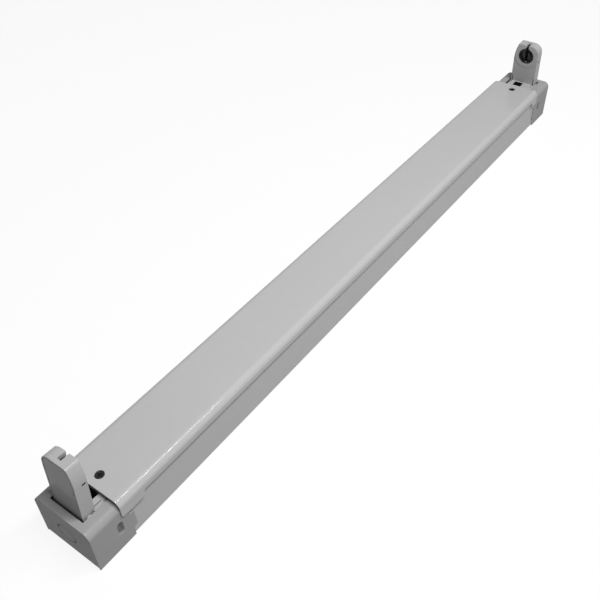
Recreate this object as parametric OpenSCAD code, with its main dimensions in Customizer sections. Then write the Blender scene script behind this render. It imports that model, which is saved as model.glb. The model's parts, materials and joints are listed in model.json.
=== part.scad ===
// Bare batten for one straight fluorescent tube, drawn lamp side up as it lies on its mounting back.
// X runs along the batten, Z points away from the ceiling, and the origin is the middle of the mounting back.
// Both ends carry the same cap and lampholder, the right end turned half a turn about Z.

/* [Batten] */
// Overall length over the end caps
batten_l = 620; // [600:1:700]
// Width over the end caps
cap_w = 45.5; // [44:0.5:52]
// Height of the end caps above the mounting back
cap_h = 35; // [34:0.5:40]

/* [End caps] */
// Length of each end cap
cap_l = 28.5; // [27:0.5:30]
// Sheet thickness of the end caps
cap_t = 0.8; // [0.6:0.1:1]
// Outside radius of the long top edges
cap_bend = 5; // [3:0.5:6]
// Distance from the end face to the lampholder notch
notch_set = 4.8; // [4:0.1:5]
// Width of the lampholder notch
notch_w = 27.4; // [26.6:0.2:28]
// Height of the end face's lower edge above the mounting back
face_lift = 1.3; // [0.5:0.1:3]
// Diameter of the scored knock-out in the end face
knockout_d = 14; // [10:1:18]
// Height of the knock-out's centre
knockout_z = 17.2; // [14:0.2:20]
// Width of the scored line
score_w = 0.5; // [0.3:0.1:0.8]
// Depth of the scored line
score_deep = 0.35; // [0.2:0.05:0.5]
// Diameter of the two relief holes on the scored line
nib_d = 1.6; // [1:0.1:2]
// Distance from the end face to the pressed dimple in each side
dimple_x = 20; // [16:0.5:23]
// Height of the middle of the dimple
dimple_z = 17.4; // [14:0.2:20]
// Length of the dimple, upright
dimple_l = 10; // [8:0.5:12]
// Radius of the dimple's rounded bottom
dimple_r = 3; // [2.5:0.1:3.5]
// Depth of the dimple below the side's outer face
dimple_deep = 1.2; // [0.8:0.1:1.4]
// Length of the tongue that each side carries beyond the cap
tongue_l = 2.8; // [2:0.2:4]
// Width of the tongue, upright
tongue_w = 13.5; // [12:0.5:15]

/* [Spine] */
// Sheet thickness of the spine
spine_t = 0.8; // [0.6:0.1:1]
// Outside radius of the lower bends
spine_bend = 1.6; // [1.2:0.1:2.5]
// Outside radius of the upper bends
rim_bend = 4; // [3.5:0.1:4.5]
// Width of the flanges that the cover rests on
flange_w = 5; // [4.6:0.2:7]
// Width of the fixing slots
fixing_w = 5.5; // [4.5:0.5:6.5]
// End-to-end length of the fixing slots
fixing_l = 14; // [10:1:18]
// Distance between the centres of the fixing slots
fixing_pitch = 480; // [440:5:500]

/* [Cover] */
// Sheet thickness of the cover
cover_t = 0.7; // [0.5:0.1:0.9]
// Height of the cover's top above the end caps
cover_rise = 3.4; // [3.2:0.1:4]
// Outside radius of the cover's long edges
cover_bend = 5; // [4.8:0.1:5.5]
// Gap on each side between the end caps and the cover's skirts
cover_gap = 0.15; // [0.1:0.05:0.3]
// Distance from the left end face to the cover's left end
cover_start = 22.7; // [22:0.1:24]
// Distance from the right end face to the cover's right end
cover_stop = 31.2; // [30:0.1:33]
// Depth of the skirts along the batten
skirt_h = 7.9; // [6.5:0.1:10]
// Depth of the skirt tabs at the ends
tab_h = 12.9; // [12:0.1:15]
// Distance from each end face to the step where a tab ends
tab_end = 41; // [39:0.5:48]
// Radius of the tab's step and corners
tab_r = 1.8; // [1:0.1:2]

/* [Cover screws] */
// Diameter of the screw's thread
screw_d = 3.5; // [3:0.5:3.5]
// Diameter of the countersunk head
head_d = 6; // [5.8:0.1:6.6]
// Depth of the head below the cover's top
head_sink = 0.5; // [0.3:0.1:0.8]
// Height of the countersunk head
head_h = 1.8; // [1.6:0.1:2]
// Overall length of the screw
screw_l = 10; // [9:0.5:12]
// Distance from the left end face to the left screw
left_screw_x = 30.5; // [30:0.1:32]
// Distance from the right end face to the right screw
right_screw_x = 40; // [38:0.5:45]
// Radial gap between the head and its seat, and between thread and bridge
screw_fit = 0.06; // [0.04:0.01:0.1]

/* [Bridges] */
// Length of each bridge along the batten
bridge_l = 10; // [8:0.5:10]
// Sheet thickness of the bridges
bridge_t = 1; // [0.8:0.1:1.2]
// Length of the bridge's legs down the spine's walls
bridge_leg = 14; // [10:1:18]
// Outside radius of the bridge's bends
bridge_bend = 3; // [2.5:0.5:4]
// Gap between the end cap's sheet and the bridge
bridge_gap = 0.3; // [0.2:0.05:0.5]
// Diameter of the drawn collar that the screw threads into
collar_d = 6.4; // [5.6:0.2:8]
// Depth of the drawn collar below the bridge
collar_h = 3; // [2:0.5:4]

/* [Lampholders] */
// Distance from the end face to the back of an upright lampholder
holder_set = 6; // [5.6:0.1:6.4]
// Lean of the lampholders towards each other with no tube in them
holder_lean = 3.5; // [0:0.5:4]
// Height of the lampholder above the end cap
holder_h = 40.2; // [39:0.1:44]
// Width of the lampholder
holder_w = 24.2; // [23.4:0.2:25]
// Thickness of the housing
holder_t = 8.8; // [8.4:0.1:9.2]
// Height of the raised rim round the opening
rim_t = 0.4; // [0.3:0.1:1]
// Amount by which the raised rim is narrower on each side
rim_inset = 0.7; // [0.4:0.1:1]
// Radius of the rounded ear
ear_r = 8; // [6:0.5:9]
// Radius of the long curve of the sloped ear
slope_r = 41; // [36:1:50]
// Height at which the sloped ear starts
slope_h = 24; // [22:1:26]
// Radius of the sloped ear's corner
corner_r = 2.6; // [2:0.1:3]
// Height of the lamp's axis above the end cap
axis_h = 29; // [28:0.1:30]
// Diameter of the round opening
opening_d = 15.4; // [15.2:0.1:15.8]
// Width of the pin entry slot
entry_w = 2.8; // [2.7:0.1:3.2]
// Chamfer along each side of the pin entry slot's mouth
entry_flare = 0.8; // [0.6:0.1:1]
// Height of the back plate's catch notch
catch_h = 19.9; // [18:0.1:22]
// Height of the side window above the end cap
window_h = 24.1; // [22:0.1:26]
// Thickness of the housing's outer walls
holder_wall = 2.2; // [2:0.1:2.4]
// Thickness of the back plate
back_t = 1.5; // [1.2:0.1:1.7]
// Width of the housing's edge round the back plate
back_edge = 1; // [0.8:0.1:1.2]
// Gap between the back plate and the housing's edge
back_gap = 0.15; // [0.1:0.05:0.2]
// Length of the foot ledge, measured from the back of the housing
ledge_l = 18.4; // [17:0.2:18.6]
// Width of the foot ledge
ledge_w = 25.8; // [25:0.2:26]
// Height of the foot ledge above the end cap when upright
ledge_rise = 0.4; // [0.2:0.1:0.8]
// Chamfer along the foot ledge's upper edges
ledge_edge = 1.3; // [1.2:0.1:1.6]
// Depth of the foot block below the end cap
foot_h = 13; // [12:0.5:14]
// Length of the foot block
foot_l = 15.5; // [14:0.5:16]
// Width of the foot block
foot_w = 22; // [20:0.5:24]
// Diameter of the round lips that carry the lampholder under the sheet
lip_d = 3.4; // [3:0.1:3.8]
// Width over the round lips
lip_w = 30.4; // [29.4:0.2:32]
// Distance from the end face to the lips, about which the lampholder rocks
lip_x = 10; // [9.5:0.1:10.5]
// Gap between the sheet and the lips
seat_gap = 0.3; // [0.25:0.05:0.4]
// Diameter of the wire mouths in the foot block
mouth_d = 4.6; // [4.4:0.1:5]
// Distance of each wire mouth from the lampholder's middle
mouth_y = 5; // [4:0.2:6]

/* [Rotors] */
// Radial gap between rotor and opening
rotor_fit = 0.08; // [0.05:0.01:0.1]
// Depth of the rotor's rim below the housing's raised rim
rotor_sink = 1.3; // [1:0.1:2]
// Width of the rotor's pin channel
channel_w = 2.9; // [2.6:0.1:3.2]
// Diameter of the rotor's middle boss
boss_d = 8; // [6:0.5:9]
// Diameter of the ring groove round the boss
groove_d = 12.8; // [12:0.2:13.4]
// Depth of the ring groove
groove_deep = 2; // [1:0.1:2.5]
// Thickness of the contact strips
strip_t = 0.4; // [0.3:0.05:0.5]
// Width of the contact strips
strip_w = 3; // [2.4:0.1:3.2]

/* [Ballast] */
// Length of the ballast's case
ballast_l = 190; // [150:5:200]
// Height of the ballast over its base plate
ballast_h = 23; // [18:0.5:26]
// Position of the ballast's middle along the batten
ballast_x = 81; // [78:1:84]
// Sheet thickness of the ballast's case and base plate
ballast_t = 0.8; // [0.6:0.1:1]
// Radius of the case's long top edges
ballast_bend = 2.5; // [1.5:0.5:4]
// Length of the terminal blocks at the ballast's ends
port_l = 10; // [8:0.5:11]
// Height of those terminal blocks
port_h = 12; // [11:0.5:14]
// Length of the ears that the ballast is screwed down by
ear_l = 12; // [11:0.5:14]
// Width of those ears
ear_w = 14; // [12:0.5:16]

/* [Mains terminals] */
// Position of the terminal block's middle along the batten
block_x = -70; // [-74:1:-66]
// Length of the terminal block along the batten
block_l = 18; // [16:0.5:20]
// Height of the terminal block
block_h = 13; // [12:0.5:15]
// Distance between neighbouring poles
pole_pitch = 8; // [7.4:0.2:8.4]
// Diameter of the wire bores through the poles
pole_bore = 3.4; // [3:0.1:3.8]
// Position of the earth screw along the batten
earth_x = -44; // [-46:1:-43]
// Radius of the earth tag's ring
tag_r = 4.2; // [3.8:0.1:4.6]
// Position of the cable entry along the batten
entry_x = -115; // [-125:1:-108]
// Bore of the cable entry bush
bush_bore = 10; // [8:0.5:12]
// Diameter of the hole in the spine that holds the bush
bush_hole = 16; // [15:0.5:18]
// Diameter of the bush's flange
bush_flange = 19; // [18.6:0.2:22]
// Height of the bush
bush_h = 4; // [3:0.5:6]

/* [Inside screws] */
// Diameter of the threads of the screws inside the spine
thread_d = 3.5; // [3:0.5:3.5]
// Diameter of their heads
pan_d = 6.8; // [6:0.2:7.4]
// Height of their heads
pan_h = 2; // [1.6:0.1:2.4]
// Radial gap round their threads
thread_gap = 0.05; // [0.05:0.05:0.1]

/* [Wires] */
// Diameter of the insulated wires
wire_d = 1.8; // [1.6:0.1:1.9]
// Gap between wires and what holds them
wire_gap = 0.3; // [0.25:0.05:0.4]
// Length of each wire clip along the batten
clip_l = 8; // [6:0.5:10]
// Wall thickness of the wire clips
clip_t = 0.8; // [0.6:0.1:0.8]

/* [Hidden] */
$fn = 48;
cut = 1;

// Sections that follow from the driving sizes
spine_w = cap_w - 2 * cap_t;
inner_y = spine_w / 2 - spine_t;
floor_y = inner_y - (spine_bend - spine_t) - 0.05;
cover_w = cap_w + 2 * (cover_gap + cover_t);
cover_top = cap_h + cover_rise;
rim_z = cover_top - cover_t;
end_play = 0.2;
spine_x = batten_l / 2 - cap_t - end_play;
low_wall = cap_h - cap_bend - 0.5;
tongue_z = dimple_z - 2.8;
tongue_r = 1.2;
cover_x0 = -batten_l / 2 + cover_start;
cover_x1 = batten_l / 2 - cover_stop;
bridge_top = cap_h - cap_t - bridge_gap;
screw_top = cover_top - head_sink;
left_screw = -batten_l / 2 + left_screw_x;
right_screw = batten_l / 2 - right_screw_x;

// Lampholder levels: thickness runs from the back plate towards the tube
lip_z = cap_h - cap_t - seat_gap - lip_d / 2;
rim_d = holder_t + rim_t;
front_wall = 3;
rotor_back = 1.9;
rotor_flange = 1;
corner_bite = 0.12;
pocket_deep = 6.5;
pocket_in = 6.9;
pocket_out = 9.6;
rotor_r = opening_d / 2 - rotor_fit;
rotor_rim = rim_d - rotor_sink;
strip_y = opening_d / 2 + 0.3;
mouth_h = -10;
entry_back = 3;
mouth_side = (entry_w + 2 * entry_flare) / sqrt(2);

// Wire rests
wire_r = wire_d / 2;
lead_z = spine_t + clip_t + wire_gap + wire_r;
lead_pitch = wire_d + wire_gap;
lead_y = floor_y - clip_t - wire_gap - wire_r - lead_pitch;
ballast_w = 2 * (lead_y - wire_r - wire_gap);
earth_y = floor_y - tag_r - 0.6;
tag_t = 1;
tag_barrel = 5;
tag_neck = tag_r + 3.3;
tag_end = tag_neck + tag_barrel - 1;
clip_places = [[-250, -1], [-180, -1], [-90, -1], [215, -1], [215, 1], [255, 1]];

// Ballast and terminal levels, with the places of the wire holes across their blocks
base_z = spine_t;
ballast_x0 = ballast_x - ballast_l / 2;
ballast_x1 = ballast_x + ballast_l / 2;
port_z = base_z + ballast_t;
port_hole_z = port_z + 7;
lamp_ports = [-0.3, -0.13, 0.13, 0.3] * ballast_w;
mains_ports = [-0.2, 0.07] * ballast_w;
pole_z = base_z + 6;
ear_screw_x = ballast_l / 2 + port_l + ear_l / 2 - 1;
block_w = 3 * pole_pitch + 2;
block_seat = block_h - 4;
block_pan_d = 1.5 * thread_d;
bush_z = bush_h - 0.6;

// Filled arch: flat foot, two rounded top corners
module arch(w, h, r) {
  translate([-w / 2, 0]) square([w, h - r]);
  translate([-w / 2 + r, 0]) square([w - 2 * r, h]);
  for (side = [-1, 1])
    translate([side * (w / 2 - r), h - r]) circle(r);
}

// Filled box with its own radius on the lower and on the upper corners
module tray(w, h, low_r, top_r) {
  intersection() {
    arch(w, h, top_r);
    translate([0, h]) mirror([0, 1]) arch(w, h, low_r);
  }
}

// Extrudes a section drawn in Y and Z from x0 to x1
module along_x(x0, x1) {
  translate([x0, 0, 0]) rotate([90, 0, 90]) linear_extrude(x1 - x0) children();
}

// Extrudes a side view drawn in X and Z from y0 to y1
module along_y(y0, y1) {
  translate([0, y1, 0]) rotate([90, 0, 0]) linear_extrude(y1 - y0) children();
}

// Each end is drawn with X measured inwards from its end face
module at_left() {
  translate([-batten_l / 2, 0, 0]) children();
}
module at_right() {
  rotate([0, 0, 180]) at_left() children();
}

// Spine: a folded channel with flanges that carry the cover, lowered inside the caps
module spine_section() {
  difference() {
    tray(spine_w, rim_z, spine_bend, rim_bend);
    translate([0, spine_t])
      tray(spine_w - 2 * spine_t, rim_z - 2 * spine_t, spine_bend - spine_t, rim_bend - spine_t);
    translate([-spine_w / 2 + flange_w, rim_z / 2]) square([spine_w - 2 * flange_w, rim_z]);
  }
}

module dimple_form(r) {
  reach = dimple_l / 2 - sqrt(pow(dimple_r, 2) - pow(dimple_r - dimple_deep, 2));
  for (side = [-1, 1])
    translate([dimple_x, side * (cap_w / 2 + dimple_r - dimple_deep), dimple_z]) {
      translate([0, 0, -reach]) cylinder(r = r, h = 2 * reach);
      for (end = [-1, 1])
        translate([0, 0, end * reach]) sphere(r);
    }
}

module fixing_slot() {
  run = (fixing_l - fixing_w) / 2;
  translate([0, 0, -cut]) {
    for (end = [-1, 1])
      translate([end * run, 0, 0]) cylinder(d = fixing_w, h = spine_t + 2 * cut);
    translate([-run, -fixing_w / 2, 0]) cube([2 * run, fixing_w, spine_t + 2 * cut]);
  }
}

module spine() {
  color([0.70, 0.71, 0.71])
  difference() {
    along_x(-spine_x, spine_x) spine_section();
    for (turn = [0, 180])
      rotate([0, 0, turn]) {
        translate([-batten_l / 2 - cut, -cap_w, low_wall])
          cube([cap_l + end_play + cut, 2 * cap_w, rim_z]);
        at_left() dimple_form(dimple_r + cap_t + 0.25);
        translate([fixing_pitch / 2, 0, 0]) fixing_slot();
      }
    translate([entry_x, 0, -cut]) cylinder(d = bush_hole, h = spine_t + 2 * cut);
    for (place = [[ballast_x - ear_screw_x, 0], [ballast_x + ear_screw_x, 0], [block_x, 0], [earth_x, earth_y]])
      translate([place.x, place.y, -cut]) cylinder(d = thread_d + 2 * thread_gap, h = spine_t + 2 * cut);
  }
}

// End cap: a folded box with a notch for the lampholder, a scored knock-out and a pressed dimple in each side
module cap_section() {
  difference() {
    arch(cap_w, cap_h, cap_bend);
    arch(cap_w - 2 * cap_t, cap_h - cap_t, cap_bend - cap_t);
  }
}

module knockout() {
  rotate([0, 90, 0]) {
    difference() {
      translate([0, 0, -cut]) cylinder(d = knockout_d + score_w, h = cut + score_deep);
      translate([0, 0, -2 * cut]) cylinder(d = knockout_d - score_w, h = 4 * cut);
    }
    for (turn = [0, 180])
      rotate([0, 0, turn]) translate([-3, 6, 0] / norm([3, 6, 0]) * knockout_d / 2)
        translate([0, 0, -cut]) cylinder(d = nib_d, h = 2 * cut);
  }
}

module end_cap() {
  color([0.68, 0.69, 0.69])
  difference() {
    union() {
      along_x(0, cap_l) cap_section();
      along_x(0, cap_t) intersection() {
        arch(cap_w - cap_t, cap_h - cap_t / 2, cap_bend - cap_t / 2);
        translate([-cap_w, face_lift]) square([2 * cap_w, cap_h]);
      }
      intersection() {
        dimple_form(dimple_r + cap_t);
        translate([0, -cap_w / 2 + cap_t / 2, 0]) cube([cap_l, cap_w - cap_t, cap_h - cap_bend]);
      }
      for (y = [-cap_w / 2, cap_w / 2 - cap_t])
        along_y(y, y + cap_t) translate([cap_l - cut, tongue_z]) rotate(-90)
          arch(tongue_w, tongue_l + cut, tongue_r);
    }
    dimple_form(dimple_r);
    translate([notch_set, -notch_w / 2, cap_h - cap_bend]) cube([cap_l, notch_w, cap_bend + cut]);
    translate([0, 0, knockout_z]) knockout();
  }
}

// Cover: lifts straight up off the flanges once its two screws are out
module cover_section(depth) {
  translate([0, cover_top - depth]) difference() {
    arch(cover_w, depth, cover_bend);
    translate([0, -cut]) arch(cover_w - 2 * cover_t, depth - cover_t + cut, cover_bend - cover_t);
  }
}

// Leaves an outside corner of radius tab_r when it is cut away, the corner's point being at the origin
module corner_cut() {
  difference() {
    translate([-cut, -cut]) square(tab_r + cut);
    translate([tab_r, tab_r]) circle(tab_r);
  }
}

module skirt_relief() {
  low = cover_top - tab_h;
  x0 = -batten_l / 2 + tab_end;
  x1 = batten_l / 2 - tab_end;
  along_y(-cover_w, cover_w) {
    translate([0, low - cut]) {
      difference() {
        translate([x0, 0]) square([x1 - x0, tab_h - skirt_h + cut]);
        translate([x0, tab_h - skirt_h + cut - tab_r]) square(tab_r);
        translate([x1 - tab_r, tab_h - skirt_h + cut - tab_r]) square(tab_r);
      }
      for (x = [x0 + tab_r, x1 - tab_r])
        translate([x, tab_h - skirt_h + cut - tab_r]) circle(tab_r);
    }
    for (x = [x0, cover_x1])
      translate([x, low]) mirror([1, 0]) corner_cut();
    for (x = [cover_x0, x1])
      translate([x, low]) corner_cut();
  }
}

module screw_seat(grow) {
  cylinder(d1 = screw_d + 2 * grow, d2 = head_d + 2 * grow, h = head_h);
}

module cover() {
  color([0.72, 0.73, 0.73])
  difference() {
    union() {
      along_x(cover_x0, cover_x1) cover_section(tab_h);
      for (x = [left_screw, right_screw])
        translate([x, 0, screw_top - head_h]) screw_seat(cover_t + screw_fit);
    }
    skirt_relief();
    for (x = [left_screw, right_screw]) {
      translate([x, 0, screw_top - head_h]) screw_seat(screw_fit);
      translate([x, 0, screw_top]) cylinder(d = head_d + 2 * screw_fit, h = head_sink + cut);
      translate([x, 0, screw_top - head_h - cut]) cylinder(d = screw_d + 2 * screw_fit, h = 2 * cut);
    }
  }
}

module cross_recess(span, deep) {
  for (turn = [0, 90])
    rotate([0, 0, turn]) translate([-span / 2, -0.45, -deep]) cube([span, 0.9, deep + cut]);
}

module cover_screws() {
  color([0.16, 0.16, 0.17])
  for (x = [left_screw, right_screw])
    translate([x, 0, screw_top]) difference() {
      union() {
        translate([0, 0, -head_h]) screw_seat(0);
        translate([0, 0, -screw_l + 1]) cylinder(d = screw_d, h = screw_l - head_h);
        translate([0, 0, -screw_l]) cylinder(d1 = screw_d - 1.4, d2 = screw_d, h = 1);
      }
      cross_recess(3.4, 1.1);
    }
}

// Bridge: spans the spine's walls under the cover and holds the cover screw in a drawn collar
module bridge(x) {
  color([0.62, 0.63, 0.64])
  difference() {
    union() {
      along_x(x - bridge_l / 2, x + bridge_l / 2) translate([0, bridge_top - bridge_leg]) difference() {
        arch(2 * inner_y, bridge_leg, bridge_bend);
        translate([0, -cut]) arch(2 * (inner_y - bridge_t), bridge_leg - bridge_t + cut, bridge_bend - bridge_t);
      }
      translate([x, 0, bridge_top - bridge_t - collar_h]) cylinder(d = collar_d, h = collar_h + bridge_t);
    }
    translate([x, 0, bridge_top - bridge_t - collar_h - cut])
      cylinder(d = screw_d + 2 * screw_fit, h = collar_h + bridge_t + 2 * cut);
  }
}

// Lampholder outline seen from the back: a rounded ear on the left and a sloped one on the right
module holder_outline(inset, low) {
  half = holder_w / 2 - inset;
  top = holder_h - inset;
  big = slope_r - inset;
  ear = ear_r - inset;
  slope_c = [-holder_w / 2 + slope_r, slope_h];
  corner = [slope_c.x - sqrt(pow(big, 2) - pow(top - slope_h, 2)), top];
  inward = unit((slope_c - corner) / big + [0, -1]);
  foot = (corner_r - corner_bite) * -inward.x / inward.y;
  difference() {
    union() {
      translate([-half, low]) square([2 * half, slope_h - low]);
      intersection() {
        translate([-half, low]) square([2 * half - ear, top - low]);
        translate(slope_c) circle(big);
      }
      translate([half - ear - cut, low]) square([ear + cut, top - ear - low]);
      translate([half - ear, top - ear]) circle(ear);
    }
    difference() {
      translate(corner - [corner_r, foot]) square(corner_r + foot);
      translate(corner - (corner_r - corner_bite) / inward.y * inward) circle(corner_r);
    }
  }
}

// Puts a lampholder piece in its end, with the thickness along X and the cap's top at height zero, leaning
module holder_place() {
  translate([lip_x, 0, lip_z]) rotate([0, holder_lean, 0])
    translate([holder_set - lip_x, 0, cap_h - lip_z]) children();
}

module ledge_section() {
  low = -6;
  half = ledge_w / 2;
  polygon([[-half, low], [half, low], [half, ledge_rise - ledge_edge], [half - ledge_edge, ledge_rise],
    [-half + ledge_edge, ledge_rise], [-half, ledge_rise - ledge_edge]]);
}

module rotor_axis() {
  translate([0, 0, axis_h]) rotate([0, 90, 0]) children();
}

module holder_solid() {
  along_x(0, holder_t) holder_outline(0, -foot_h + 6);
  along_x(holder_t - cut, rim_d) intersection() {
    holder_outline(rim_inset, 0);
    union() {
      translate([0, axis_h]) circle(opening_d / 2 + 3.6);
      translate([-holder_w, axis_h]) square([2 * holder_w, holder_h]);
    }
  }
  translate([0.8, -foot_w / 2, -foot_h]) cube([foot_l, foot_w, foot_h - 3]);
  along_x(holder_t - cut, ledge_l) ledge_section();
  translate([lip_x - holder_set, -lip_w / 2, lip_z - cap_h]) rotate([-90, 0, 0]) cylinder(d = lip_d, h = lip_w);
}

module holder_hollow() {
  // Seat of the back plate, and the chamber behind the front wall
  along_x(-cut, back_t) holder_outline(back_edge, -3);
  along_x(back_t - cut, front_wall) holder_outline(holder_wall, -2);
  // Round opening, pin entry slot and its flared mouth
  rotor_axis() cylinder(d = opening_d, h = rim_d + cut);
  translate([entry_back, -entry_w / 2, axis_h]) cube([rim_d, entry_w, holder_h]);
  translate([entry_back, 0, holder_h]) rotate([45, 0, 0])
    translate([0, -mouth_side / 2, -mouth_side / 2]) cube([rim_d, mouth_side, mouth_side]);
  for (side = [-1, 1]) {
    // Pocket for a contact strip, and its slit down into the foot
    translate([back_t, side > 0 ? pocket_in : -pocket_out, -2])
      cube([pocket_deep - back_t, pocket_out - pocket_in, axis_h + 9]);
    translate([front_wall + 0.2, side * (strip_y + strip_t / 2) - strip_t / 2 - 0.1, -8])
      cube([strip_w + 0.2, strip_t + 0.2, 8]);
    // Side window of the back plate's catch, and the flexing slit beside the foot
    translate([5.1, side * holder_w / 2 - 1, window_h]) cube([2.4, 2, 1.2]);
    translate([5.2, side * 10.9 - 0.4, -1]) cube([rim_d, 0.8, 8]);
    // Mouth that a lamp lead goes into
    translate([foot_l - 4, side * mouth_y, mouth_h]) rotate([0, 90, 0]) cylinder(d = mouth_d, h = 8);
  }
  // Window in the foot ledge
  translate([holder_t + 1, -6.5, -7]) cube([ledge_l - holder_t - 2.6, 8, 10]);
}

module lampholder() {
  color([0.66, 0.67, 0.67])
  holder_place() difference() {
    holder_solid();
    holder_hollow();
  }
}

module lampholder_back() {
  color([0.6, 0.61, 0.61])
  holder_place() difference() {
    along_x(0, back_t) holder_outline(back_edge + back_gap, -3 + back_gap);
    translate([-cut, -holder_w / 2, catch_h]) cube([2 * cut + back_t, 2, 2.4]);
  }
}

module rotor() {
  color([0.09, 0.09, 0.1])
  holder_place() rotor_axis() difference() {
    union() {
      translate([0, 0, rotor_back]) cylinder(r = rotor_r + 0.9, h = rotor_flange - 0.2);
      translate([0, 0, rotor_back]) cylinder(r = rotor_r, h = rotor_rim - rotor_back);
    }
    difference() {
      translate([0, 0, rotor_rim - groove_deep]) cylinder(d = groove_d, h = groove_deep + cut);
      translate([0, 0, rotor_rim - groove_deep - cut]) cylinder(d = boss_d, h = groove_deep + 3 * cut);
    }
    translate([-opening_d, -channel_w / 2, rotor_back + 0.6]) cube([2 * opening_d, channel_w, rim_d]);
  }
}

module contacts() {
  color([0.72, 0.55, 0.30])
  holder_place() for (side = [-1, 1])
    along_x(front_wall + 0.3, front_wall + 0.3 + strip_w) scale([side, 1]) {
      translate([strip_y, -7.6]) square([strip_t, axis_h + 13]);
      translate([strip_y, axis_h + 5]) square([1.2, strip_t]);
    }
}

// Ballast: a sheet lid on a base plate with two ears, a board inside and a terminal block at each end
module ballast_case() {
  color([0.78, 0.78, 0.76])
  along_x(ballast_x0, ballast_x1) translate([0, port_z]) difference() {
    arch(ballast_w, ballast_h, ballast_bend);
    translate([0, -cut]) arch(ballast_w - 2 * ballast_t, ballast_h - ballast_t + cut, ballast_bend - ballast_t);
  }
}

module ballast_base() {
  color([0.7, 0.71, 0.72])
  difference() {
    union() {
      translate([ballast_x0 - port_l, -ballast_w / 2, base_z]) cube([ballast_l + 2 * port_l, ballast_w, ballast_t]);
      translate([ballast_x0 - port_l - ear_l, -ear_w / 2, base_z])
        cube([ballast_l + 2 * (port_l + ear_l), ear_w, ballast_t]);
    }
    for (x = [ballast_x - ear_screw_x, ballast_x + ear_screw_x])
      translate([x, 0, base_z - cut]) cylinder(d = thread_d + 0.7, h = ballast_t + 2 * cut);
  }
}

module ballast_board() {
  inside_w = ballast_w - 2 * ballast_t - 1;
  board_z = port_z + 3;
  color([0.25, 0.42, 0.26]) {
    translate([ballast_x0 + 1, -inside_w / 2, board_z]) cube([ballast_l - 2, inside_w, 1.6]);
    for (x = [0.2, 0.45])
      translate([ballast_x0 + x * ballast_l, -8, board_z]) cube([20, 16, ballast_h - 7]);
    for (x = [0.7, 0.85])
      translate([ballast_x0 + x * ballast_l, 0, board_z]) cylinder(d = 10, h = ballast_h - 7);
    for (x = [ballast_x0 + 4, ballast_x1 - 6])
      translate([x, -4, port_z]) cube([2, 8, 4]);
  }
}

module port_block(x, mouths, outward) {
  turn = outward > 0 ? 0 : 180;
  translate([x, 0, 0]) rotate([0, 0, turn]) difference() {
    translate([0, -ballast_w / 2 + 1.5, port_z]) cube([port_l, ballast_w - 3, port_h]);
    for (y = mouths)
      translate([port_l - 6, outward * y, port_hole_z]) rotate([0, 90, 0]) cylinder(d = wire_d + 0.6, h = 8);
    for (y = mouths)
      translate([port_l - 4.5, outward * y - 1, port_z + port_h - 2]) cube([2.5, 2, 4]);
  }
}

module ballast_input_terminal() {
  color([0.85, 0.85, 0.83]) port_block(ballast_x0, mains_ports, -1);
}

module ballast_output_terminal() {
  color([0.85, 0.85, 0.83]) port_block(ballast_x1, lamp_ports, 1);
}

// Pan-head screw standing on height zero, its shank reaching down through the sheets below
module pan_screw(head, deep) {
  shoulder = 0.3 * pan_h;
  difference() {
    union() {
      cylinder(d = head, h = pan_h - shoulder);
      translate([0, 0, pan_h - shoulder]) cylinder(d1 = head, d2 = head - 2.5 * shoulder, h = shoulder);
      translate([0, 0, -deep]) cylinder(d = thread_d, h = deep + shoulder);
    }
    translate([0, 0, pan_h]) cross_recess(0.55 * head, 0.5 * pan_h);
  }
}

module ballast_screws() {
  color([0.75, 0.75, 0.73])
  for (x = [ballast_x - ear_screw_x, ballast_x + ear_screw_x])
    translate([x, 0, port_z]) pan_screw(pan_d, port_z);
}

// Mains terminal block with three poles, clamped by two screws each and held down by one in its middle
module terminal_block() {
  color([0.88, 0.88, 0.86])
  translate([block_x, 0, base_z]) difference() {
    union() {
      translate([-block_l / 2, -block_w / 2, 0]) cube([block_l, block_w, block_h - 4]);
      for (pole = [-1, 0, 1])
        translate([-block_l / 2, pole * pole_pitch - 3, 0]) cube([block_l, 6, block_h]);
    }
    for (pole = [-1, 0, 1]) {
      translate([-block_l, pole * pole_pitch, pole_z - base_z]) rotate([0, 90, 0]) {
        cylinder(d = pole_bore, h = block_l - 1.2);
        translate([0, 0, block_l + 1.2]) cylinder(d = pole_bore, h = block_l);
      }
      for (side = [-1, 1])
        translate([side * 5, pole * pole_pitch, pole_z - base_z]) cylinder(r = 2, h = block_h);
    }
    translate([0, 0, -cut]) cylinder(d = thread_d + 2 * thread_gap, h = block_h);
    translate([0, 0, block_seat]) cylinder(d = block_pan_d + 0.4, h = block_h);
  }
}

module terminal_screws() {
  color([0.76, 0.62, 0.34])
  for (pole = [-1, 0, 1])
    for (side = [-1, 1])
      translate([block_x + side * 5, pole * pole_pitch, pole_z + pole_bore / 2 + 0.3]) difference() {
        cylinder(r = 1.94, h = 3.6);
        translate([-3, -0.35, 2.8]) cube([6, 0.7, 2]);
      }
}

module terminal_fixing_screw() {
  color([0.75, 0.75, 0.73])
  translate([block_x, 0, base_z + block_seat]) pan_screw(block_pan_d, base_z + block_seat);
}

module earth_screw() {
  color([0.76, 0.62, 0.34])
  translate([earth_x, earth_y, base_z + tag_t]) pan_screw(pan_d, base_z + tag_t);
}

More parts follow.
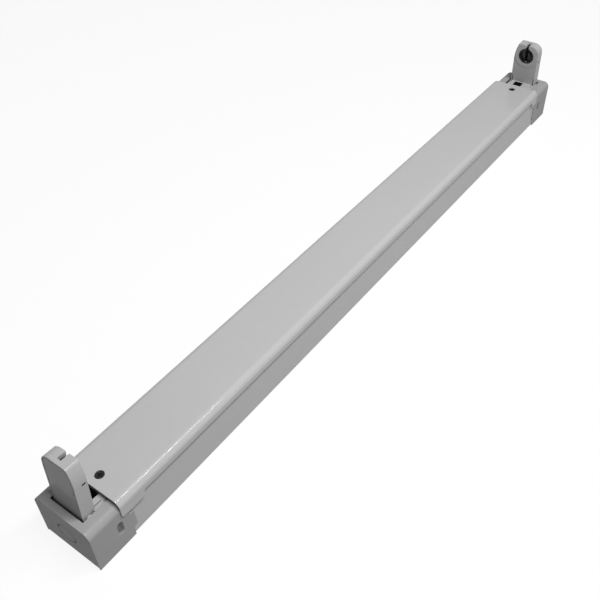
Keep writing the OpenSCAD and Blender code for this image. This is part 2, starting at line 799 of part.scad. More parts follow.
// Ring tag under the earth screw with a barrel that the earth wire is crimped in
module earth_tag() {
  barrel_r = wire_r + 0.15 + 0.55 * tag_t;
  color([0.8, 0.78, 0.72])
  translate([earth_x, earth_y, base_z]) difference() {
    union() {
      cylinder(r = tag_r, h = tag_t);
      translate([-tag_neck, -0.75 * barrel_r, 0]) cube([tag_neck, 1.5 * barrel_r, tag_t]);
      translate([-tag_end, 0, barrel_r]) rotate([0, 90, 0]) cylinder(r = barrel_r, h = tag_barrel);
    }
    translate([0, 0, -cut]) cylinder(d = thread_d + 0.2, h = tag_t + 2 * cut);
    translate([-tag_end - cut, 0, barrel_r]) rotate([0, 90, 0]) cylinder(r = wire_r + 0.15, h = tag_barrel - 1 + cut);
  }
}

module cable_bush() {
  color([0.2, 0.2, 0.2])
  translate([entry_x, 0, 0]) difference() {
    union() {
      cylinder(d = bush_hole - 0.1, h = bush_h);
      translate([0, 0, spine_t]) cylinder(d = bush_flange, h = 1.2);
    }
    translate([0, 0, -cut]) cylinder(d = bush_bore, h = bush_h + 2 * cut);
    translate([0, 0, bush_z]) cylinder(d1 = bush_bore, d2 = bush_bore + 2.4, h = 1.2);
  }
}

// Clip that holds two lamp leads beside each other on the spine's floor
module wire_clips() {
  inside = 2 * wire_d + 3 * wire_gap;
  inner = lead_y - wire_r - wire_gap;
  lip_low = base_z + clip_t + wire_d + 2 * wire_gap;
  color([0.86, 0.86, 0.84])
  for (place = clip_places)
    along_x(place.x - clip_l / 2, place.x + clip_l / 2) scale([place.y, 1]) {
      translate([inner - clip_t, base_z]) square([inside + 2 * clip_t, clip_t]);
      for (y = [inner - clip_t, inner + inside])
        translate([y, base_z]) square([clip_t, lip_low + clip_t - base_z]);
      for (y = [inner - clip_t, inner + inside - clip_t])
        translate([y, lip_low]) square([2 * clip_t, clip_t]);
    }
}

// Wires: a route of points with rounded corners, swept with eight sides
wire_sides = 8;
bend_steps = 4;
bend_run = 5;
function unit(v) = v / norm(v);
function corner(a, b, c) =
  let (run = min(bend_run, norm(a - b) / 2, norm(c - b) / 2))
  let (p = b + run * unit(a - b), q = b + run * unit(c - b))
  [for (i = [0:bend_steps]) let (s = i / bend_steps) (1 - s) * (1 - s) * p + 2 * s * (1 - s) * b + s * s * q];
function rounded(p) =
  [p[0], for (i = [1:len(p) - 2]) each corner(p[i - 1], p[i], p[i + 1]), p[len(p) - 1]];
function heading(p, i) = unit(p[min(i + 1, len(p) - 1)] - p[max(i - 1, 0)]);
function across(u, t) = unit(u - t * (u * t));
function sides(p) =
  [for (i = 0, u = across([0, 0.6, 0.8], heading(p, 0)); i < len(p);
    i = i + 1, u = across(u, heading(p, min(i, len(p) - 1)))) u];

module wire(route) {
  path = rounded(route);
  lateral = sides(path);
  n = len(path);
  k = wire_sides;
  points = [for (i = [0:n - 1]) let (u = lateral[i], v = cross(heading(path, i), lateral[i]))
    for (j = [0:k - 1]) path[i] + wire_r * (cos(360 * j / k) * u + sin(360 * j / k) * v)];
  skin = [for (i = [0:n - 2]) for (j = [0:k - 1])
    let (a = i * k + j, b = i * k + (j + 1) % k)
    each [[a, a + k, b + k], [a, b + k, b]]];
  caps = [for (j = [1:k - 2]) each [[0, j, j + 1], [(n - 1) * k, (n - 1) * k + j + 1, (n - 1) * k + j]]];
  polyhedron(points = points, faces = concat(skin, caps), convexity = 6);
}

// Where a lampholder's wire mouth is while the lampholder leans, for the left end
function leaned(d, h) =
  let (x = holder_set + d - lip_x, z = cap_h + h - lip_z)
  [-batten_l / 2 + lip_x + x * cos(holder_lean) + z * sin(holder_lean),
    lip_z - x * sin(holder_lean) + z * cos(holder_lean)];
mouth = leaned(foot_l + 0.8, mouth_h);
mouth_x = mouth.x;
mouth_z = mouth.y + 0.4;
mouth_grip = 1.5;
mouth_run = 6;
mouth_drop = 5;
block_end = block_x + block_l / 2 - 3;
block_out = 9;
core_z = 12;
port_grip = 3;
port_end = ballast_x0 - port_l + port_grip;
port_out = 10;
lamp_end = ballast_x1 + port_l;
lane_step = 4;
loop_run = 7;
rise_x = 48;
rise_run = 8;
rise_z = 10;

module live_wire() {
  color([0.45, 0.26, 0.15])
  wire([[block_end, -pole_pitch, pole_z], [block_end + port_grip + block_out, -pole_pitch, pole_z],
    [(block_end + port_end) / 2, 0.5 * (mains_ports[0] - pole_pitch) - 2, core_z],
    [port_end - port_grip - port_out, mains_ports[0], port_hole_z], [port_end, mains_ports[0], port_hole_z]]);
}

module neutral_wire() {
  color([0.18, 0.32, 0.62])
  wire([[block_end, 0, pole_z], [block_end + port_grip + block_out, 0, pole_z],
    [(block_end + port_end) / 2, 0, core_z],
    [port_end - port_grip - port_out, mains_ports[1], port_hole_z], [port_end, mains_ports[1], port_hole_z]]);
}

module earth_wire() {
  tag_x = earth_x - tag_end + tag_barrel / 2;
  tag_z = base_z + wire_r + 0.15 + 0.55 * tag_t;
  color([0.45, 0.6, 0.18])
  wire([[block_end, pole_pitch, pole_z], [block_end + port_grip + 2, pole_pitch, pole_z],
    [tag_x - tag_barrel / 2 - 1, earth_y, tag_z], [tag_x, earth_y, tag_z]]);
}

// The left pair turns back along the far wall to the left lampholder, the right pair runs on to the right one
module lamp_leads_left() {
  color([0.8, 0.8, 0.78])
  for (lane = [0, 1]) {
    y = -lead_y - lane * lead_pitch;
    port = lamp_ports[1 - lane];
    hole = lane == 0 ? mouth_y : -mouth_y;
    turn_x = lamp_end + 2 * loop_run + lane_step * lane;
    rise = -batten_l / 2 + rise_x - lane_step * lane;
    wire([[lamp_end - port_grip, port, port_hole_z], [turn_x - loop_run, port, port_hole_z],
      [turn_x, port - 3, port_hole_z], [turn_x, y, lead_z], [turn_x - 2 * loop_run, y, lead_z],
      [rise, y, lead_z], [rise - rise_run, y + lane_step, rise_z],
      [mouth_x + 2 * mouth_run, hole, mouth_z - mouth_drop],
      [mouth_x + mouth_run, hole, mouth_z], [mouth_x - mouth_grip, hole, mouth_z]]);
  }
}

module lamp_leads_right() {
  color([0.8, 0.8, 0.78])
  for (lane = [0, 1]) {
    y = lead_y + lane * lead_pitch;
    port = lamp_ports[2 + lane];
    hole = lane == 0 ? -mouth_y : mouth_y;
    rise = batten_l / 2 - rise_x + lane_step * lane;
    wire([[lamp_end - port_grip, port, port_hole_z], [lamp_end + loop_run, port, port_hole_z],
      [lamp_end + 2.5 * loop_run, y - 1, lead_z + 2], [lamp_end + 3.5 * loop_run, y, lead_z],
      [rise, y, lead_z], [rise + rise_run, y - lane_step, rise_z],
      [-mouth_x - 2 * mouth_run, hole, mouth_z - mouth_drop],
      [-mouth_x - mouth_run, hole, mouth_z], [-mouth_x + mouth_grip, hole, mouth_z]]);
  }
}

spine();
at_left() end_cap();  // end_cap_left
at_right() end_cap();  // end_cap_right
cover();
cover_screws();
bridge(left_screw);  // bridge_left
bridge(right_screw);  // bridge_right
at_left() lampholder();  // lampholder_left
at_right() lampholder();  // lampholder_right
at_left() lampholder_back();  // lampholder_back_left
at_right() lampholder_back();  // lampholder_back_right
at_left() rotor();  // rotor_left
at_right() rotor();  // rotor_right
at_left() contacts();  // contacts_left
at_right() contacts();  // contacts_right
ballast_case();
ballast_base();
ballast_board();
ballast_input_terminal();
ballast_output_terminal();
ballast_screws();
terminal_block();
terminal_screws();
terminal_fixing_screw();
earth_screw();
earth_tag();
cable_bush();
wire_clips();
live_wire();
neutral_wire();
earth_wire();
lamp_leads_left();
lamp_leads_right();
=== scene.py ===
"""Dresses a bare tube batten.

It gives the sheet metal and the mouldings their softened edges, and every piece its painted, plated or moulded
finish.
"""

import json
import math

import bmesh
import bpy
from bpy.props import FloatProperty, FloatVectorProperty, PointerProperty
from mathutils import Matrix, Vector


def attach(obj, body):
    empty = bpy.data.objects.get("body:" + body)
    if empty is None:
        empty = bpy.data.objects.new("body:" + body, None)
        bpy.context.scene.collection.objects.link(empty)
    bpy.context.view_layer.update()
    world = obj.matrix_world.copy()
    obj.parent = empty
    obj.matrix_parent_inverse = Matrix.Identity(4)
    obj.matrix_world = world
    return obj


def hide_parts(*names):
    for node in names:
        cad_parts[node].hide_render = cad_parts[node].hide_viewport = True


bl_info = {
    "name": "Tube batten dresser",
    "version": (1, 0, 0),
    "blender": (4, 5, 0),
    "location": "View3D > Sidebar > Batten",
    "description": "Gives a bare tube batten its rounded edges, small parts and finishes",
    "category": "Object",
}

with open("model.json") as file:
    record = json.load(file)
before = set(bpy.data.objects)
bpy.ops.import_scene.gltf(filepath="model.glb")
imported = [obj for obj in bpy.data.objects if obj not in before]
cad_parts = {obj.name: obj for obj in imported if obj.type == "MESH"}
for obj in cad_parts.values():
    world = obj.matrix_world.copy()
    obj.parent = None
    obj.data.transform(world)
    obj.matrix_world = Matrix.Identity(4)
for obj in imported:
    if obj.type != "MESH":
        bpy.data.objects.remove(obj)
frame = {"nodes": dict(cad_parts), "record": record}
NODES = frame["nodes"]

# Finishes that are already made, by the record's slot
MADE = {}

# Angles in degrees: faces flatter than FLAT are one face, edges sharper than the others are cut or shaded sharp
FLAT = 0.5
CUT_ANGLE = 32
WIDE_ANGLE = 50
RIM_ANGLE = 15
SHADE_ANGLE = 38
# How strongly broad faces pull the shading
SHADE_WEIGHT = 60
# Corners nearer than this, in metres, are one corner of the CAD's loose triangles
SAME_CORNER = 0.000002
# Faces larger than this, in square metres, get the broad rounding where they meet
WIDE_FACE = 3.5e-6

# Shine of the paint on the spine and cover, and on the end caps
SHEET_SHINE = 0.32
CAP_SHINE = 0.05
# Depth in a dimple at which the painted shade covers the paint
HOLLOW_SHADE_DEPTH = 0.0009

# Boxes of an end cap's dimple: how far in from the cap's end, the height, and how far in from its side
DIMPLE_RIM = ((0.0155, 0.0245), (0.011, 0.024), (-1.0, 0.00003))
DIMPLE_HOLLOW = ((0.0172, 0.0228), (0.0120, 0.0228), (0.00001, 0.0015))
DIMPLE_ROUNDING = 0.0005
LARGEST_HOLLOW_FACE = 3e-6

# Boxes of a lampholder's windows, whose insides are painted black as shade, seen from the middle of the rotor's
# face: out, across and up
CATCH_WINDOW = ((-0.0029, -0.0003), (0.0110, 0.01205), (-0.0050, -0.0036))
FOOT_WINDOW = ((0.0018, 0.0090), (-0.0066, 0.0016), (-0.0361, -0.0287))
# Height above which a lampholder's edges show
HOLDER_SHOWS = 0.0332

# Black collar round a rotor's face, painted shade for the holder's bore: radii, how far out it begins and ends, and
# half its gap
SHADE_COLLAR_OUTER = 0.00762
SHADE_COLLAR_INNER = 0.00668
SHADE_COLLAR_LOW = -0.0001
SHADE_COLLAR_HIGH = 0.00115
SHADE_COLLAR_HALF_GAP = 0.0017
SHADE_COLLAR_STEPS = 60
SHADE_COLLAR_ROUNDING = 0.00015

# Stage: half the floor's width, its place under the batten, its grey for the lights and its glow for the camera
FLOOR_SIZE = 6
FLOOR_HEIGHT = -0.0004
FLOOR_GREY = (0.25, 0.25, 0.25)
FLOOR_GLOW = 0.9
# Where the two lights point and how large they are
KEY_TARGET, KEY_SIZE = (0, 0, 0.03), (0.55, 0.05)
FILL_TARGET, FILL_SIZE = (-0.08, 0, 0.02), (0.5, 0.08)


# ---------------------------------------------------------------- settings


class BattenFinishSettings(bpy.types.PropertyGroup):
    """Colours of the batten's finishes and of its painted shade"""

    paint: FloatVectorProperty(
        name="Paint", description="Powder coat of the spine and cover",
        subtype="COLOR", size=3, min=0, max=1, default=(0.47, 0.47, 0.47),
    )
    # Darker copy of the sheet's paint for the end caps: painted shade for the batten's shaded ends
    caps: FloatVectorProperty(
        name="End caps", description="Slightly darker powder coat of the end caps",
        subtype="COLOR", size=3, min=0, max=1, default=(0.345, 0.345, 0.345),
    )
    # Colour of the painted shade deep in the hollows of the end caps' dimples
    hollows: FloatVectorProperty(
        name="Dimples", description="Dirt in the hollows of the end caps' dimples",
        subtype="COLOR", size=3, min=0, max=1, default=(0.16, 0.16, 0.16),
    )
    moulding: FloatVectorProperty(
        name="Lampholder", description="Moulded plastic of the lampholders",
        subtype="COLOR", size=3, min=0, max=1, default=(0.43, 0.43, 0.43),
    )
    # Its black is also the painted shade of the rotor collars and the lampholders' windows
    rotor: FloatVectorProperty(
        name="Rotor", description="Moulded plastic of the rotors",
        subtype="COLOR", size=3, min=0, max=1, default=(0.01, 0.01, 0.01),
    )
    peel: FloatProperty(
        name="Orange peel", description="Height of the paint's fine waves",
        subtype="DISTANCE", unit="LENGTH", min=0, max=0.0001, default=0.000012,
    )


class BattenEdgeSettings(bpy.types.PropertyGroup):
    """Rounding of cut and moulded edges"""

    sheet: FloatProperty(
        name="Sheet edges", description="Rounding that the paint leaves on cut sheet",
        subtype="DISTANCE", unit="LENGTH", min=0, max=0.0004, default=0.00016,
    )
    moulded: FloatProperty(
        name="Moulded edges", description="Rounding of the lampholders' outer edges",
        subtype="DISTANCE", unit="LENGTH", min=0, max=0.0004, default=0.0003,
    )
    small: FloatProperty(
        name="Small edges", description="Rounding of screws, rotors and terminals",
        subtype="DISTANCE", unit="LENGTH", min=0, max=0.0003, default=0.00012,
    )


class BattenStageSettings(bpy.types.PropertyGroup):
    """Camera and light round the batten"""

    lens: FloatProperty(
        name="Lens", description="Focal length for a 36 mm wide picture",
        subtype="DISTANCE_CAMERA", min=20, max=120, default=45.687,
    )
    camera_place: FloatVectorProperty(
        name="Camera place", description="Where the camera stands",
        subtype="TRANSLATION", unit="LENGTH", size=3, default=(-0.408955, -0.248094, 0.402173),
    )
    camera_turn: FloatVectorProperty(
        name="Camera turn", description="How the camera is turned",
        subtype="EULER", unit="ROTATION", size=3,
        default=(math.radians(47.254785), math.radians(1.554779), math.radians(-53.879596)),
    )
    key_place: FloatVectorProperty(
        name="Key light place", description="Where the soft box stands",
        subtype="TRANSLATION", unit="LENGTH", size=3, default=(-0.05, -0.32, 0.84),
    )
    key_power: FloatProperty(
        name="Key light", description="Power of the soft box",
        subtype="POWER", unit="POWER", min=0, max=500, default=7.6,
    )
    fill_place: FloatVectorProperty(
        name="Fill light place", description="Where the low strip light stands",
        subtype="TRANSLATION", unit="LENGTH", size=3, default=(-0.08, -0.7, 0.05),
    )
    fill_power: FloatProperty(
        name="Fill light", description="Power of the low strip light",
        subtype="POWER", unit="POWER", min=0, max=500, default=0.85,
    )
    room: FloatProperty(
        name="Room light", description="Level of the even light from all round",
        subtype="FACTOR", min=0, max=1, default=0.18,
    )


# ------------------------------------------------------------ shader maths


class Wave:
    """A shader value that takes part in Python arithmetic"""

    def __init__(self, finish, socket):
        self.finish = finish
        self.socket = socket

    def _math(self, operation, first, second=0.0):
        return self.finish.add("ShaderNodeMath", {"operation": operation}, {0: first, 1: second})

    def __add__(self, other):
        return self._math("ADD", self, other)

    __radd__ = __add__

    def __sub__(self, other):
        return self._math("SUBTRACT", self, other)

    def __rsub__(self, other):
        return self._math("SUBTRACT", other, self)

    def __mul__(self, other):
        return self._math("MULTIPLY", self, other)

    __rmul__ = __mul__

    def __abs__(self):
        return self._math("ABSOLUTE", self)

    def least(self, other):
        return self._math("MINIMUM", self, other)


class Tree:
    """A node tree that grows node by node"""

    def __init__(self, owner):
        owner.use_nodes = True
        self.tree = owner.node_tree
        self.tree.nodes.clear()

    def add(self, kind, settings, inputs, output=0):
        """Adds a node, sets it, then fills its sockets with values or links"""
        node = self.tree.nodes.new(kind)
        for key, value in settings.items():
            setattr(node, key, value)
        for key, value in inputs.items():
            if isinstance(value, Wave):
                self.tree.links.new(value.socket, node.inputs[key])
            else:
                node.inputs[key].default_value = value
        return None if output is None else Wave(self, node.outputs[output])

    def seen(self):
        """One where the camera looks, straight or through a reflection or glass"""
        straight, mirrored, through = (
            self.add("ShaderNodeLightPath", {}, {}, kind)
            for kind in ("Is Camera Ray", "Is Glossy Ray", "Is Transmission Ray")
        )
        return (straight + mirrored + through).least(1.0)


class Finish(Tree):
    """One procedural material, built round a Principled shader"""

    def __init__(self, name, color, roughness=0.4, metallic=0.0, **fixed):
        self.material = bpy.data.materials.new(name)
        super().__init__(self.material)
        self.output = self.tree.nodes.new("ShaderNodeOutputMaterial")
        self.shader = self.tree.nodes.new("ShaderNodeBsdfPrincipled")
        self.tree.links.new(self.shader.outputs[0], self.output.inputs["Surface"])
        self.shader.inputs["Base Color"].default_value = (*color, 1)
        self.shader.inputs["Roughness"].default_value = roughness
        self.shader.inputs["Metallic"].default_value = metallic
        for socket, value in fixed.items():
            self.shader.inputs[socket.replace("_", " ")].default_value = value
        self.place = self.add("ShaderNodeTexCoord", {}, {}, "Object")

    def feed(self, socket, value):
        self.tree.links.new(value.socket, self.shader.inputs[socket])

    def stretched(self, scale):
        return self.add("ShaderNodeMapping", {}, {"Vector": self.place, "Scale": scale}, "Vector")

    def noise(self, scale, detail=2.0, place=None):
        inputs = {"Vector": place or self.place, "Scale": scale, "Detail": detail, "Roughness": 0.5}
        return self.add("ShaderNodeTexNoise", {}, inputs, "Fac")

    def cells(self, scale, feature="F1", output="Distance"):
        inputs = {"Vector": self.place, "Scale": scale}
        return self.add("ShaderNodeTexVoronoi", {"feature": feature}, inputs, output)

    def step(self, value, low, high):
        """Rises softly from nought to one between two values"""
        settings = {"clamp": True, "interpolation_type": "SMOOTHSTEP"}
        return self.add("ShaderNodeMapRange", settings, {"Value": value, "From Min": low, "From Max": high})

    def tint(self, mask, color, shade):
        """Blends two colours by a mask"""
        return self.add("ShaderNodeMix", {"data_type": "RGBA"}, {0: mask, 6: color, 7: shade}, 2)

    def bump(self, height, distance, below=None):
        """Returns a normal that leans with a height, on top of an earlier normal"""
        inputs = {"Height": height, "Distance": distance, "Strength": 1.0}
        if below is not None:
            inputs["Normal"] = below
        return self.add("ShaderNodeBump", {}, inputs, "Normal")


def shaded(color, amount):
    """Returns a colour made lighter or darker, with full alpha"""
    return tuple(min(1.0, c * amount) for c in color) + (1.0,)


def cap_side():
    """Returns how far the outer faces of the end caps' sides are from the middle"""
    return max(v.co.y for v in NODES["end_cap_left"].data.vertices)


def powder_coat(name, color, peel, shine, hollow_shade=None):
    """Semi-gloss powder coat: slow drift of tone, orange peel, a few pin specks and, deep in dimples, painted shade
    """
    f = Finish(
        name, color, 0.5, Coat_Weight=shine, Coat_Roughness=0.07, IOR=1.5, Specular_IOR_Level=0.08,
    )
    drift = f.noise(14, 3)
    mottle = f.noise(160, 2)
    specks = f.step(f.cells(260), 0.055, 0.03)
    tone = f.tint(drift * 0.6 + mottle * 0.4, shaded(color, 0.955), shaded(color, 1.045))
    coat = f.tint(specks * 0.35, tone, shaded(color, 0.7))
    # Painted shade: darker colour deep in the end caps' dimples
    if hollow_shade:
        across = f.add("ShaderNodeSeparateXYZ", {}, {"Vector": f.place}, "Y")
        coat = f.tint(f.step(cap_side() - abs(across), 0.0, HOLLOW_SHADE_DEPTH), coat, shaded(hollow_shade, 1))
    f.feed("Base Color", coat)
    f.feed("Roughness", 0.44 + mottle * 0.12 + drift * 0.04)
    waves = f.noise(620, 1.5)
    grit = f.noise(2600, 1)
    f.feed("Normal", f.bump(waves + grit * 0.25, peel))
    return f.material


def moulded_plastic(name, color, gloss=0.5):
    """Moulded thermoplastic: faint flow marks, fine spark-eroded grain and worn shine"""
    f = Finish(
        name, color, gloss, IOR=1.5, Coat_Weight=0.18, Coat_Roughness=0.14, Specular_IOR_Level=0.12,
    )
    flow = f.noise(60, 2, f.stretched((1, 1, 0.35)))
    grain = f.noise(3200, 2)
    f.feed("Base Color", f.tint(flow, shaded(color, 0.95), shaded(color, 1.05)))
    f.feed("Roughness", gloss - 0.05 + flow * 0.1 + grain * 0.05)
    f.feed("Normal", f.bump(grain, 0.000006, f.bump(f.noise(240, 1), 0.000012)))
    return f.material


def black_plastic(name, color, gloss=0.32):
    """Dark moulded plastic with a fine grain and light scuffs"""
    f = Finish(name, color, gloss, IOR=1.5)
    scuff = f.step(f.noise(420, 3, f.stretched((1, 6, 1))), 0.58, 0.72)
    f.feed("Base Color", f.tint(scuff * 0.5, shaded(color, 1), shaded(color, 2.2)))
    f.feed("Roughness", gloss + scuff * 0.15)
    f.feed("Normal", f.bump(f.noise(2800, 2), 0.000006))
    return f.material


def zinc_plate(name, color, roughness=0.34):
    """Zinc-plated or galvanised sheet with a soft spangle and rolling lines"""
    f = Finish(name, color, roughness, 1.0)
    spangle = f.cells(240, output="Color")
    lines = f.noise(900, 2, f.stretched((0.06, 1, 1)))
    f.feed("Base Color", f.tint(f.noise(300, 2), shaded(color, 0.88), shaded(color, 1.08)))
    f.feed("Roughness", roughness - 0.08 + lines * 0.14 + spangle * 0.04)
    f.feed("Normal", f.bump(lines, 0.000005))
    return f.material


def turned_metal(name, color, roughness=0.3):
    """Small turned or pressed metal with fine lines and tarnish in its pores"""
    f = Finish(name, color, roughness, 1.0)
    tarnish = f.noise(700, 3)
    f.feed("Base Color", f.tint(f.step(tarnish, 0.35, 0.7), shaded(color, 0.72), shaded(color, 1.06)))
    f.feed("Roughness", roughness + tarnish * 0.18)
    f.feed("Normal", f.bump(f.noise(2400, 1, f.stretched((1, 1, 5))), 0.000005))
    return f.material


def insulation(name, color):
    """PVC insulation with a soft sheen and slight extrusion marks"""
    f = Finish(name, color, 0.42)
    marks = f.noise(500, 2, f.stretched((0.1, 1, 1)))
    f.feed("Base Color", f.tint(marks, shaded(color, 0.88), shaded(color, 1.1)))
    f.feed("Roughness", 0.34 + marks * 0.16)
    f.feed("Normal", f.bump(marks, 0.00001))
    return f.material


def circuit_board(name, color):
    """Lacquered board with copper runs showing as lighter cells"""
    f = Finish(name, color, 0.4)
    runs = f.step(f.cells(320, "DISTANCE_TO_EDGE"), 0.05, 0.09)
    f.feed("Base Color", f.tint(runs, shaded(color, 1.5), shaded(color, 0.8)))
    f.feed("Roughness", 0.32 + runs * 0.15)
    f.feed("Normal", f.bump(runs, 0.00003))
    return f.material


def finishes():
    """Makes each finish once and returns them by the record's slot"""
    looks = bpy.context.scene.batten_finish
    if not MADE:
        caps, hollow_shade = tuple(looks.caps), tuple(looks.hollows)
        MADE.update({
            "painted_sheet": powder_coat("powder_coat", tuple(looks.paint), looks.peel, SHEET_SHINE),
            # The end caps: a darker copy of the sheet's paint, as painted shade
            "cap_sheet_painted_shade": powder_coat("cap_coat_painted_shade", caps, looks.peel, CAP_SHINE),
            # The dimples' hollows: the caps' paint with painted shade deep inside
            "cap_dimple_shade": powder_coat("dimple_painted_shade", caps, looks.peel, CAP_SHINE, hollow_shade),
            "holder_plastic": moulded_plastic("lampholder_plastic", tuple(looks.moulding)),
            "black_plastic": black_plastic("black_plastic", tuple(looks.rotor)),
            "white_plastic": moulded_plastic("white_nylon", (0.72, 0.72, 0.69), 0.45),
            "plated_steel": zinc_plate("zinc_plate", (0.56, 0.57, 0.58)),
            "dark_screw": turned_metal("dark_screw", (0.035, 0.035, 0.037), 0.38),
            "bronze": turned_metal("spring_bronze", (0.62, 0.40, 0.20), 0.28),
            "brass": turned_metal("terminal_brass", (0.66, 0.48, 0.20), 0.3),
            "board": circuit_board("board_lacquer", (0.03, 0.12, 0.05)),
            "wire_brown": insulation("insulation_brown", (0.16, 0.06, 0.03)),
            "wire_blue": insulation("insulation_blue", (0.03, 0.10, 0.42)),
            "wire_green": insulation("insulation_green", (0.16, 0.36, 0.05)),
            "wire_white": insulation("insulation_white", (0.62, 0.62, 0.59)),
        })
    return MADE


# ------------------------------------------------------------------ pieces


def placed(bm, name, body, slot, finish=None):
    """Turns a bmesh into a finished piece that rides on its body"""
    for face in bm.faces:
        face.smooth = True
    for edge in bm.edges:
        if len(edge.link_faces) == 2:
            edge.smooth = edge.calc_face_angle(0) < math.radians(SHADE_ANGLE)
    mesh = bpy.data.meshes.new(name)
    bm.to_mesh(mesh)
    bm.free()
    piece = bpy.data.objects.new(name, mesh)
    bpy.context.scene.collection.objects.link(piece)
    mesh.materials.append(finishes()[finish or slot])
    keep = piece.modifiers.new("even shading", "WEIGHTED_NORMAL")
    keep.keep_sharp = True
    keep.weight = SHADE_WEIGHT
    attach(piece, body)
    return piece


def sharp(bm, angle, above):
    """Returns the edges that turn by more than an angle, above a height"""
    return [
        e for e in bm.edges
        if len(e.link_faces) == 2 and e.calc_face_angle(0) > math.radians(angle)
        and min(v.co.z for v in e.verts) > above
    ]


def round_off(bm, edges, offset, segments):
    bmesh.ops.bevel(
        bm, geom=edges, offset=offset, offset_type="OFFSET", segments=segments, profile=0.5,
        affect="EDGES", material=-1, clamp_overlap=False, loop_slide=True,
    )
    bm.normal_update()


def softened(node, edge, broad=0.0, merge=0.0, above=-1.0, shape=None):
    """Returns a merged copy of a part's mesh with its sharp edges rounded, first those between broad faces"""
    bm = bmesh.new()
    bm.from_mesh(NODES[node].data)
    bmesh.ops.remove_doubles(bm, verts=bm.verts, dist=SAME_CORNER)
    bmesh.ops.dissolve_limit(bm, angle_limit=math.radians(FLAT), verts=bm.verts, edges=bm.edges)
    if merge > 0:
        bmesh.ops.remove_doubles(bm, verts=bm.verts, dist=merge)
    if shape:
        shape(bm)
    bm.normal_update()
    if broad > 0:
        wide = [
            e for e in sharp(bm, WIDE_ANGLE, above)
            if e.is_convex and min(f.calc_area() for f in e.link_faces) > WIDE_FACE
        ]
        round_off(bm, wide, broad, 3)
    if edge > 0:
        round_off(bm, sharp(bm, WIDE_ANGLE if broad else CUT_ANGLE, above), edge, 2)
    return bm


def dress(node, piece, body, slot, edge, finish=None, **soft):
    """Puts a softened and finished piece in the place of a part"""
    done = placed(softened(node, edge, **soft), piece, body, slot, finish)
    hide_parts(node)
    return done


def inside(point, box):
    """Tells whether each number of a point lies between its two limits"""
    return all(low < value < high for value, (low, high) in zip(point, box))


def soft_dimples(bm):
    """Rounds the rims of an end cap's two pressed dimples and gives their hollows the finish with painted shade"""
    side = cap_side()
    end = max(abs(v.co.x) for v in bm.verts)

    def spot(point):
        return end - abs(point.x), point.z, side - abs(point.y)

    rims = [e for e in sharp(bm, RIM_ANGLE, 0.0) if all(inside(spot(v.co), DIMPLE_RIM) for v in e.verts)]
    round_off(bm, rims, DIMPLE_ROUNDING, 3)
    # The hollow's faces take the second material, with its painted shade
    for face in bm.faces:
        if inside(spot(face.calc_center_median()), DIMPLE_HOLLOW) and face.calc_area() < LARGEST_HOLLOW_FACE:
            face.material_index = 1


class Socket:
    """Place and directions of a lampholder: out of its opening, across the batten and up"""

    def __init__(self, side):
        mounts = frame["record"]["mounts"]
        mount = next(m for m in mounts if m["name"] == f"lamp_socket_{side}")
        self.face = Vector(mount["pos_m"])
        self.out = Vector(mount["axis"]).normalized()
        self.across = Vector((0, 1, 0))
        self.up = self.out.cross(self.across) * (1 if side == "left" else -1)

    def spot(self, point):
        """Returns a point as its distances out, across and up from the middle of the rotor's face"""
        away = point - self.face
        return away.dot(self.out), away.dot(self.across), away.dot(self.up)

    def paint_shade_in_windows(self, bm):
        """Gives the black second material to the insides of the catch windows and of the window in the foot, as
        painted shade
        """
        for face in bm.faces:
            out, across, up = self.spot(face.calc_center_median())
            turned = across * self.out.x
            if inside((out, abs(across), up), CATCH_WINDOW) or inside((out, turned, up), FOOT_WINDOW):
                face.material_index = 1


class BATTEN_OT_sheet_metal(bpy.types.Operator):
    """Rounds the cut edges of the spine, end caps, cover and bridges and paints them"""

    bl_idname = "batten.sheet_metal"
    bl_label = "Sheet metal"

    def execute(self, context):
        edge = context.scene.batten_edges.sheet
        dress("spine", "spine_painted", "batten", "painted_sheet", edge)
        dress("cover", "cover_painted", "lid", "painted_sheet", edge)
        for side in ("left", "right"):
            # The caps take the darker copy of the paint, as painted shade
            cap = dress(
                f"end_cap_{side}", f"end_cap_{side}_painted", "batten", "painted_sheet", edge,
                "cap_sheet_painted_shade", shape=soft_dimples,
            )
            # Second material: the painted shade in the dimples' hollows
            cap.data.materials.append(finishes()["cap_dimple_shade"])
            dress(f"bridge_{side}", f"bridge_{side}_plated", "batten", "plated_steel", edge)
        return {"FINISHED"}


def bore_shade_collar(socket):
    """Raised black collar round the rotor's face, open at the top where the lamp's pins come in: painted shade for
    the bore's wall
    """
    bm = bmesh.new()
    start = math.asin(SHADE_COLLAR_HALF_GAP / SHADE_COLLAR_INNER)
    side = socket.up * math.cos(start) + socket.across * math.sin(start)
    corners_at = (
        (SHADE_COLLAR_OUTER, SHADE_COLLAR_LOW), (SHADE_COLLAR_OUTER, SHADE_COLLAR_HIGH),
        (SHADE_COLLAR_INNER, SHADE_COLLAR_HIGH), (SHADE_COLLAR_INNER, SHADE_COLLAR_LOW),
    )
    ring = [bm.verts.new(socket.face + side * r + socket.out * h) for r, h in corners_at]
    profile = [bm.edges.new((ring[i], ring[(i + 1) % 4])) for i in range(4)]
    way = 1 if socket.out.cross(socket.up).dot(socket.across) > 0 else -1
    bmesh.ops.spin(
        bm, geom=ring + profile, cent=socket.face, axis=socket.out * way,
        angle=2 * (math.pi - start), steps=SHADE_COLLAR_STEPS, use_merge=False,
    )
    bmesh.ops.holes_fill(bm, edges=[e for e in bm.edges if e.is_boundary], sides=4)
    bmesh.ops.recalc_face_normals(bm, faces=bm.faces)
    round_off(bm, sharp(bm, WIDE_ANGLE, 0.0), SHADE_COLLAR_ROUNDING, 2)
    return bm


